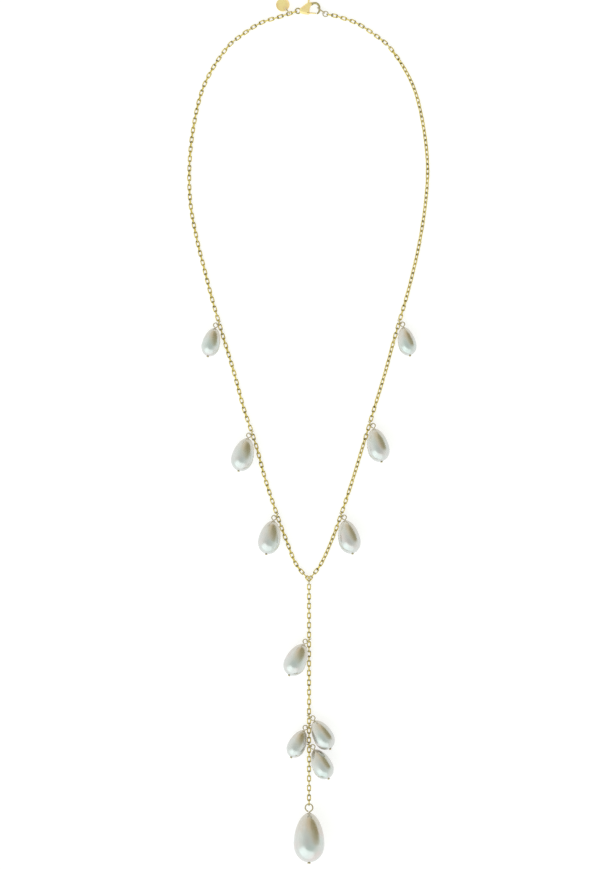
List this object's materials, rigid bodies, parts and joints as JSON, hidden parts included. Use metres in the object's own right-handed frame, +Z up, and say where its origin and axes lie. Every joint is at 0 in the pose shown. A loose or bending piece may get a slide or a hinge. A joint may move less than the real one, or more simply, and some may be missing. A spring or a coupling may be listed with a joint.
{
  "type": "lariat necklace",
  "caption": "Lariat necklace of gold cable chain hung with grey teardrop pearls: its strands meet in a ring, run on as a drop to a large pearl, and close with a lobster clasp.",
  "frame": {"origin": "middle of the bounding box in plan, on the surface that the necklace lies on", "axes": "+Y from the large pearl to the clasp, +X to the right as the picture shows it, +Z up from the surface"},
  "size_m": [0.1115, 0.3972, 0.0145],
  "materials": {
    "gold": "polished gold plate",
    "bright_gold": "polished warm gold plate",
    "pearl": "silver-grey pearl lustre"
  },
  "bodies": {
    "necklace": {"pearl_left_1": "pearl", "pearl_left_2": "pearl", "pearl_left_3": "pearl", "pearl_right_1": "pearl", "pearl_right_2": "pearl", "pearl_right_3": "pearl", "pearl_drop_1": "pearl", "pearl_drop_2": "pearl", "pearl_drop_3": "pearl", "pearl_drop_4": "pearl", "pin_left_1": "gold", "pin_left_2": "gold", "pin_left_3": "gold", "pin_right_1": "gold", "pin_right_2": "gold", "pin_right_3": "gold", "pin_drop_1": "gold", "pin_drop_2": "gold", "pin_drop_3": "gold", "pin_drop_4": "gold", "ring_left_1": "gold", "ring_left_2": "gold", "ring_left_3": "gold", "ring_right_1": "gold", "ring_right_2": "gold", "ring_right_3": "gold", "ring_drop_1": "gold", "ring_drop_2": "gold", "ring_drop_3": "gold", "ring_drop_4": "gold", "pearl_end": "pearl", "pin_end": "gold", "neck_chain_left": "gold", "neck_chain_right": "gold", "drop_chain": "gold", "junction_ring": "gold", "clasp_body": "bright_gold", "end_link": "gold", "end_ring": "gold", "tag": "bright_gold", "tag_ring": "gold"},
    "lever": {"clasp_lever": "bright_gold"}
  },
  "joints": [
    {"name": "clasp_gate", "type": "hinge", "parent": "necklace", "child": "lever", "pos_m": [-0.00025, 0.19176, 0.00112], "axis": [0, 0, 1], "range_deg": [0, 25], "stiffness_Nm_per_rad": 0.01}
  ]
}
